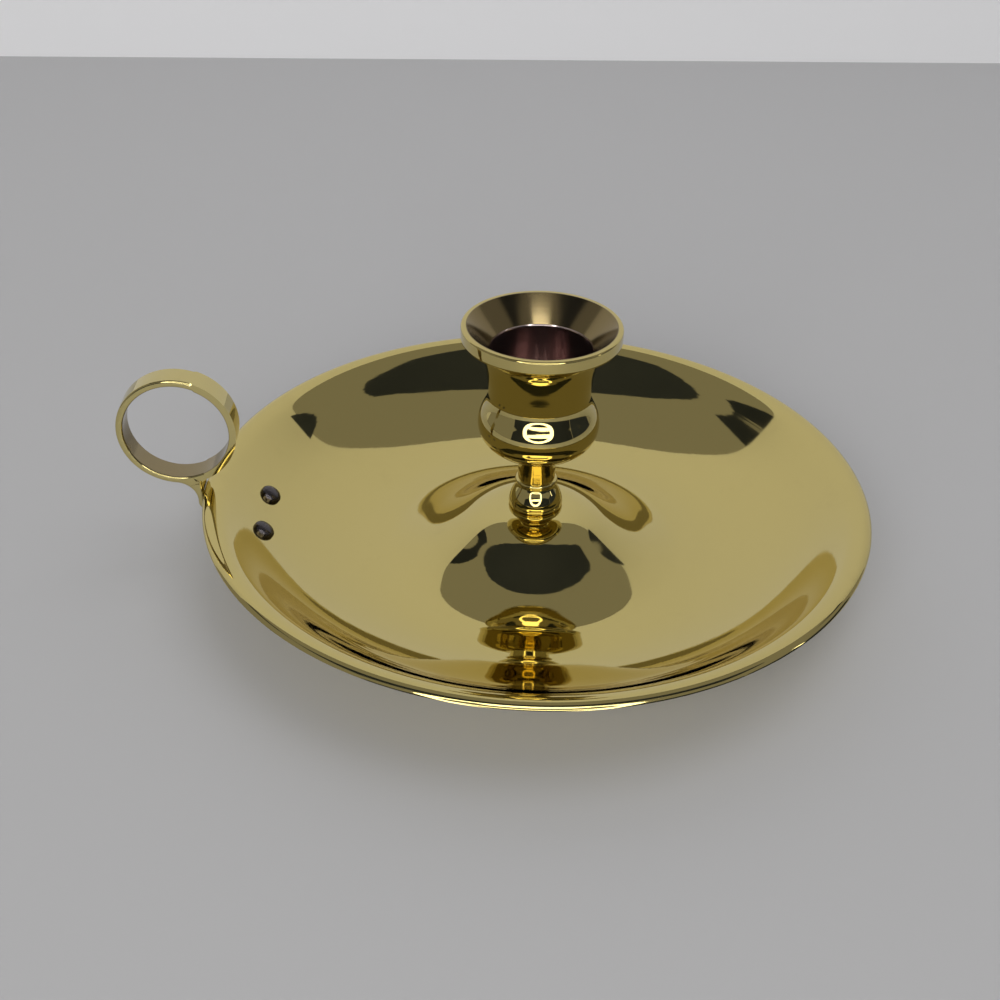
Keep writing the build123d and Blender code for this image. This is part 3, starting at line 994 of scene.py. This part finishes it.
class CHAMBERSTICK_OT_set_stage(bpy.types.Operator):
    """Camera, floor, backdrop, dark cards and lights"""

    bl_idname = "chamberstick.set_stage"
    bl_label = "Set the stage"

    def execute(self, context):
        scene = context.scene
        look = scene.chamberstick_stage
        camera, top = place_camera(scene)
        across, depth = look.reach * 2, look.reach + look.behind
        floor = stage_plane("floor", (0, (look.behind - look.reach) / 2, 0), (across, depth))
        floor.data.materials.append(stage_surface("Stage floor", look.floor, roughness=0.5, gloss=0.2))
        backdrop = upright_plane(
            "backdrop", (0, look.behind, look.wall_height / 2), (across, look.wall_height), 0
        )
        wall = stage_surface("Stage backdrop", look.backdrop, roughness=0.6, gloss=0.2)
        backdrop.data.materials.append(wall)
        # Seen only by the polish
        unseen = [*dark_cards(look), *mirrored_lights(look, camera, top)]
        for part in unseen:
            part.visible_camera = False
            part.visible_diffuse = False
            part.visible_shadow = False
        soft_lamps(look)
        world = bpy.data.worlds.new("Soft room")
        scene.world = world
        world.use_nodes = True
        world.node_tree.nodes["Background"].inputs["Color"].default_value = (*look.room, 1)
        scene.view_settings.view_transform = "Standard"
        deselect_all()
        return {"FINISHED"}


class CHAMBERSTICK_OT_spin_pan(bpy.types.Operator):
    """Spins the drip pan from its section"""

    bl_idname = "chamberstick.spin_pan"
    bl_label = "Spin the drip pan"

    def execute(self, context):
        scene = context.scene
        pan, finishes = scene.chamberstick_pan, scene.chamberstick_finishes
        piece = draw_outline(pan_outline(pan), "drip_pan_spun", closed=True, steps=7)
        spin_round(turns=256)
        brass = polished_brass(
            "Spun brass", finishes.pan_brass, finishes, smudge=0.05, bloom=0.12, rings=900.0
        )
        finish_piece(piece, "drip_pan_spun", ["drip_pan"], brass)
        return {"FINISHED"}


class CHAMBERSTICK_OT_turn_cup(bpy.types.Operator):
    """Turns the candle cup with its stem from its section"""

    bl_idname = "chamberstick.turn_cup"
    bl_label = "Turn the candle cup"

    def execute(self, context):
        scene = context.scene
        cup, pan, finishes = scene.chamberstick_cup, scene.chamberstick_pan, scene.chamberstick_finishes
        section = cup_outline(cup, pan.dome_height)
        piece = draw_outline(section, "candle_cup_turned", closed=False, steps=10)
        spin_round(turns=160)
        brass = polished_brass(
            "Turned brass", finishes.cup_brass, finishes, smudge=0.04, bloom=0.1, rings=1400.0
        )
        flare = pan.dome_height + cup_height(cup) - cup.funnel_depth
        slope = (cup.lip_inner - cup.bore_radius) / cup.funnel_depth
        # Halfway into the thinnest wall, so that the mask never reaches the outside
        hole = cup.bore_radius + (cup.waist_radius - cup.bore_radius) / 2
        funnel = {
            "Across": (1, 1, 0), "Radius": hole, "Lowest": flare - cup.bore_edge, "Flare start": flare,
            "Flare slope": slope,
        }
        bore = {"Across": (1, 1, 0), "Radius": hole, "Lowest": flare - cup.bore_depth - cup.bore_edge}
        # The funnel's darker colour is painted shade and dark reflection
        satin_hole(brass, funnel, finishes.funnel_painted_shade, finishes.satin)
        # The bore's paler colour is painted light in its shaded depth
        satin_hole(brass, bore, finishes.bore_painted_light, finishes.satin)
        finish_piece(piece, "candle_cup_turned", ["candle_cup"], brass, sharp=30.0)
        return {"FINISHED"}


class CHAMBERSTICK_OT_form_loop(bpy.types.Operator):
    """Cuts the loop from its side view, adds the plate that hugs the wall and softens the edges"""

    bl_idname = "chamberstick.form_loop"
    bl_label = "Form the finger loop"

    def execute(self, context):
        scene = context.scene
        loop, pan = scene.chamberstick_loop, scene.chamberstick_pan
        rivet, finishes = scene.chamberstick_rivet, scene.chamberstick_finishes
        centre = Vector((-pan.radius - loop.overhang, 0, pan.rim_height + loop.lift))
        circle = pan.radius - rivet.inset
        near, far = circle - loop.plate_in, circle + loop.plate_out
        piece = draw_outline(loop_outline(loop, pan, far), "finger_loop_cast", closed=True, steps=12)
        bpy.ops.mesh.primitive_circle_add(
            vertices=120, radius=loop.inner_radius, location=centre, rotation=(SQUARE_TURN, 0, 0)
        )
        hole = context.object
        pick(piece)
        hole.select_set(True)
        bpy.ops.object.join()
        edit_all()
        bpy.ops.mesh.remove_doubles(threshold=MERGE)
        bpy.ops.mesh.fill(use_beauty=True)
        bpy.ops.mesh.select_all(action="SELECT")
        bpy.ops.mesh.extrude_region_move(TRANSFORM_OT_translate={"value": (0, loop.width, 0)})
        bpy.ops.mesh.select_all(action="SELECT")
        bpy.ops.transform.translate(value=(0, -loop.width / 2, 0))
        bpy.ops.mesh.normals_make_consistent(inside=False)
        soften_rims(piece, loop, centre)
        bpy.ops.object.mode_set(mode="OBJECT")
        # Plate under the wall, turned whole and cropped to its fan
        section = plate_outline(loop, pan, near - loop.plate, far + loop.plate)
        plate = draw_outline(section, "plate", closed=True, steps=3)
        spin_round(turns=288)
        combine(plate, plate_fan(loop, near, far, rivet, pan), "INTERSECT")
        combine(piece, plate, "UNION")
        brass = polished_brass(
            "Cast brass", finishes.loop_brass, finishes, smudge=0.06, bloom=0.15, rings=0.0
        )
        inside = loop.inner_radius + loop.inner_edge / 4
        finger_hole = {"Centre": centre, "Across": (1, 0, 1), "Radius": inside, "Lowest": 0}
        # The finger hole's darker colour is painted shade inside the ring
        satin_hole(brass, finger_hole, finishes.ring_inside_painted_shade, finishes.satin)
        finish_piece(piece, "finger_loop_cast", ["finger_loop"], brass, sharp=30.0)
        even_normals(piece)
        return {"FINISHED"}


class CHAMBERSTICK_OT_head_rivets(bpy.types.Operator):
    """Turns one rivet and seats a copy each side of the loop"""

    bl_idname = "chamberstick.head_rivets"
    bl_label = "Head the rivets"

    def execute(self, context):
        scene = context.scene
        loop, pan = scene.chamberstick_loop, scene.chamberstick_pan
        rivet, finishes = scene.chamberstick_rivet, scene.chamberstick_finishes
        steel = plain_metal("Darkened rivet", finishes.rivet_metal, roughness=0.2, grain=6.0, depth=0.00003)
        circle = pan.radius - rivet.inset
        (reach, height), along = dish_place(pan, circle)
        aside = math.asin(rivet.spacing / 2 / circle)
        tilt = math.atan2(along[1], along[0])
        grip = pan.sheet + loop.plate
        first = draw_outline(rivet_outline(rivet, grip, pan.sheet), "rivet", closed=False, steps=10)
        spin_round(turns=48)
        for side, name in ((1, "loop_rivet_back"), (-1, "loop_rivet_front")):
            pick(first)
            bpy.ops.object.duplicate(linked=False)
            piece = context.object
            turn = math.pi - side * aside
            piece.rotation_euler = (0, -tilt, turn)
            piece.location = (math.cos(turn) * reach, math.sin(turn) * reach, height)
            finish_piece(piece, name, ["loop_rivets"], steel, sharp=40.0)
        bpy.data.objects.remove(first)
        return {"FINISHED"}


class CHAMBERSTICK_OT_fit_screw(bpy.types.Operator):
    """Finishes the centre screw and its washer under the raised centre"""

    bl_idname = "chamberstick.fit_screw"
    bl_label = "Finish the screw and washer"

    def execute(self, context):
        finishes = context.scene.chamberstick_finishes
        steel = plain_metal("Screw steel", finishes.screw_steel, roughness=0.28, grain=4.0, depth=0.00002)
        dull = plain_metal("Washer brass", finishes.washer_brass, roughness=0.34, grain=4.0, depth=0.00003)
        for node, material in (("centre_screw", steel), ("screw_washer", dull)):
            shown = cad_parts[node]
            shown.data.materials.clear()
            shown.data.materials.append(material)
        return {"FINISHED"}


class CHAMBERSTICK_PT_panel(bpy.types.Panel):
    """Steps and sizes of the chamberstick"""

    bl_idname = "CHAMBERSTICK_PT_panel"
    bl_label = "Chamberstick"
    bl_space_type = "VIEW_3D"
    bl_region_type = "UI"
    bl_category = "Chamberstick"

    def draw(self, context):
        for step in STEPS:
            self.layout.operator("chamberstick." + step)
        for name, group in GROUPS.items():
            box = self.layout.box()
            box.label(text=group.__doc__)
            for size in group.__annotations__:
                box.prop(getattr(context.scene, name), size)


STEPS = ["set_stage", "spin_pan", "turn_cup", "form_loop", "head_rivets", "fit_screw"]
GROUPS = {
    "chamberstick_pan": PanSizes,
    "chamberstick_cup": CupSizes,
    "chamberstick_loop": LoopSizes,
    "chamberstick_rivet": RivetSizes,
    "chamberstick_finishes": Finishes,
    "chamberstick_stage": StageLook,
}
CLASSES = [
    *GROUPS.values(),
    CHAMBERSTICK_OT_set_stage,
    CHAMBERSTICK_OT_spin_pan,
    CHAMBERSTICK_OT_turn_cup,
    CHAMBERSTICK_OT_form_loop,
    CHAMBERSTICK_OT_head_rivets,
    CHAMBERSTICK_OT_fit_screw,
    CHAMBERSTICK_PT_panel,
]


def register():
    for item in CLASSES:
        bpy.utils.register_class(item)
    for name, group in GROUPS.items():
        setattr(bpy.types.Scene, name, bpy.props.PointerProperty(type=group))


def unregister():
    for name in GROUPS:
        delattr(bpy.types.Scene, name)
    for item in reversed(CLASSES):
        bpy.utils.unregister_class(item)


def main():
    """Makes every piece and the stage."""
    register()
    for step in STEPS:
        getattr(bpy.ops.chamberstick, step)()


if __name__ == "__main__":
    main()
